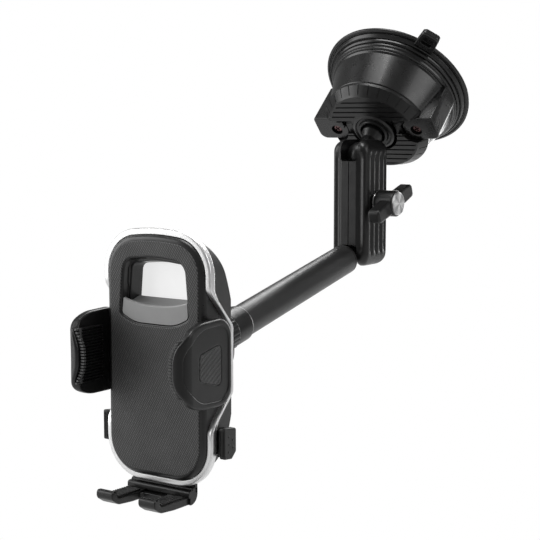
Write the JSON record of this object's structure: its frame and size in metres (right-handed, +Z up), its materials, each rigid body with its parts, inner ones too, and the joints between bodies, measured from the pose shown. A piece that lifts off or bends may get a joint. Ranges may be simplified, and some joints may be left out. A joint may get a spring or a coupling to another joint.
{
  "type": "car phone mount",
  "caption": "Suction-cup car phone mount: lever-locked base, hinged clamp arm with wing knob, telescopic tube and a spring-button cradle with side claws and a fold-out foot.",
  "frame": {"origin": "centre of the suction cup's sealing face", "axes": "+Z up, -Y towards the driver (the cradle faces -Y), +X to the driver's right"},
  "size_m": [0.08, 0.2543, 0.2049],
  "materials": {
    "cup_rubber": "satin moulded rubber",
    "gloss_black": "polished",
    "dark_steel": "blackened",
    "bright_steel": "plated",
    "satin_black": "satin",
    "brushed_cap": "radially brushed",
    "painted_tube": "satin black",
    "silver_trim": "satin plated",
    "woven_pad": "fine diagonal weave",
    "grey_lip": "gloss grey",
    "pale_panel": "pearl white",
    "pad_rubber": "ribbed",
    "striped_inset": "diagonal stripes"
  },
  "bodies": {
    "base": {"suction_cup": "cup_rubber", "clamp_ring": "gloss_black", "base_housing": "gloss_black", "left_pivot_bracket": "gloss_black", "right_pivot_bracket": "gloss_black", "bracket_screws": "dark_steel", "lever_pins": "bright_steel", "top_cover": "satin_black", "stud_retainer": "bright_steel"},
    "lever": {"lock_lever": "satin_black"},
    "plunger": {"vacuum_plunger": "satin_black"},
    "stud": {"ball_stud": "satin_black"},
    "arm": {"arm_left_shell": "satin_black", "arm_right_shell": "satin_black", "clamp_nut": "bright_steel", "arm_spring": "bright_steel"},
    "washer": {"knob_washer": "bright_steel"},
    "knob": {"wing_knob": "satin_black", "knob_cap": "brushed_cap", "clamp_bolt": "bright_steel"},
    "lower_ball": {"tube_ball": "bright_steel"},
    "tube": {"outer_tube": "painted_tube", "tube_end_plug": "satin_black"},
    "collar": {"twist_collar": "satin_black"},
    "inner": {"inner_tube": "bright_steel", "slide_bush": "satin_black", "cradle_ball": "satin_black"},
    "seat": {"ball_seat": "satin_black"},
    "cradle": {"front_shell": "gloss_black", "back_shell": "satin_black", "trim_ring": "silver_trim", "front_pad": "woven_pad", "window_ramp": "grey_lip", "window_panel": "pale_panel", "case_screws": "dark_steel", "pinion_pin": "bright_steel", "left_button_spring": "bright_steel", "right_button_spring": "bright_steel"},
    "nut": {"ring_nut": "satin_black"},
    "right_grip": {"right_claw": "satin_black", "right_claw_pad": "pad_rubber", "right_claw_inset": "striped_inset", "right_rack": "satin_black"},
    "left_grip": {"left_claw": "satin_black", "left_claw_pad": "pad_rubber", "left_claw_inset": "striped_inset", "left_rack": "satin_black"},
    "pinion": {"sync_pinion": "satin_black"},
    "right_button": {"right_release_button": "satin_black"},
    "left_button": {"left_release_button": "satin_black"},
    "foot": {"foot_bracket": "satin_black", "foot_pads": "pad_rubber"}
  },
  "joints": [
    {"name": "lever_lift", "type": "hinge", "parent": "base", "child": "lever", "pos_m": [0, -0.02452, -0.0183], "axis": [1, 0, 0], "range_deg": [-30, 0]},
    {"name": "plunger_stroke", "type": "slide", "parent": "base", "child": "plunger", "axis": [0, -0.7278, -0.6858], "range_m": [-0.0023, 0.0001]},
    {"name": "stud_swivel", "type": "hinge", "parent": "base", "child": "stud", "pos_m": [0, -0.03894, -0.03669], "axis": [0, -0.7278, -0.6858], "range_deg": [-180, 180]},
    {"name": "arm_tilt", "type": "hinge", "parent": "stud", "child": "arm", "pos_m": [0, -0.03894, -0.03669], "axis": [1, 0, 0], "range_deg": [-108, 21]},
    {"name": "washer_travel", "type": "slide", "parent": "arm", "child": "washer", "axis": [1, 0, 0], "range_m": [0, 0.0021]},
    {"name": "knob_turn", "type": "hinge", "parent": "washer", "child": "knob", "pos_m": [0.0145, -0.039, -0.06], "axis": [1, 0, 0], "range_deg": [0, 720]},
    {"name": "tube_tilt", "type": "hinge", "parent": "arm", "child": "lower_ball", "pos_m": [0, -0.039, -0.0845], "axis": [1, 0, 0], "range_deg": [-4, 95]},
    {"name": "tube_roll", "type": "hinge", "parent": "lower_ball", "child": "tube", "pos_m": [0, -0.039, -0.0845], "axis": [0, -0.9755, -0.2198], "range_deg": [-180, 180]},
    {"name": "collar_twist", "type": "hinge", "parent": "tube", "child": "collar", "pos_m": [0, -0.039, -0.0845], "axis": [0, -0.9755, -0.2198], "range_deg": [0, 60]},
    {"name": "tube_extend", "type": "slide", "parent": "tube", "child": "inner", "axis": [0, -0.9755, -0.2198], "range_m": [0, 0.045]},
    {"name": "cradle_tilt", "type": "hinge", "parent": "inner", "child": "seat", "pos_m": [0, -0.178, -0.11582], "axis": [1, 0, 0], "range_deg": [-9, 34]},
    {"name": "cradle_spin", "type": "hinge", "parent": "seat", "child": "cradle", "pos_m": [0, -0.178, -0.11582], "axis": [0, 1, 0], "continuous": true},
    {"name": "ring_nut_turn", "type": "hinge", "parent": "cradle", "child": "nut", "pos_m": [0, -0.178, -0.11582], "axis": [0, 1, 0], "range_deg": [0, 90]},
    {"name": "right_claw_slide", "type": "slide", "parent": "cradle", "child": "right_grip", "axis": [1, 0, 0], "range_m": [0, 0.019]},
    {"name": "left_claw_slide", "type": "slide", "parent": "cradle", "child": "left_grip", "axis": [-1, 0, 0], "range_m": [0, 0.019]},
    {"name": "pinion_turn", "type": "hinge", "parent": "cradle", "child": "pinion", "pos_m": [0, -0.198, -0.116], "axis": [0, 1, 0], "range_deg": [-1, 182.5]},
    {"name": "right_button_press", "type": "slide", "parent": "cradle", "child": "right_button", "axis": [-1, 0, 0], "range_m": [0, 0.0011], "stiffness_N_per_m": 300, "springref_m": -0.002, "deforming": ["right_button_spring"]},
    {"name": "left_button_press", "type": "slide", "parent": "cradle", "child": "left_button", "axis": [1, 0, 0], "range_m": [0, 0.0011], "stiffness_N_per_m": 300, "springref_m": -0.002, "deforming": ["left_button_spring"]},
    {"name": "foot_extend", "type": "slide", "parent": "cradle", "child": "foot", "axis": [0, 0, -1], "range_m": [0, 0.012]}
  ],
  "couplings": [
    {"joint": "plunger_stroke", "follows": "lever_lift", "m_per_rad": 0.004202},
    {"joint": "washer_travel", "follows": "knob_turn", "m_per_rad": 0.00015915},
    {"joint": "left_claw_slide", "follows": "right_claw_slide", "ratio": 1},
    {"joint": "pinion_turn", "follows": "right_claw_slide", "rad_per_m": 166.67}
  ]
}
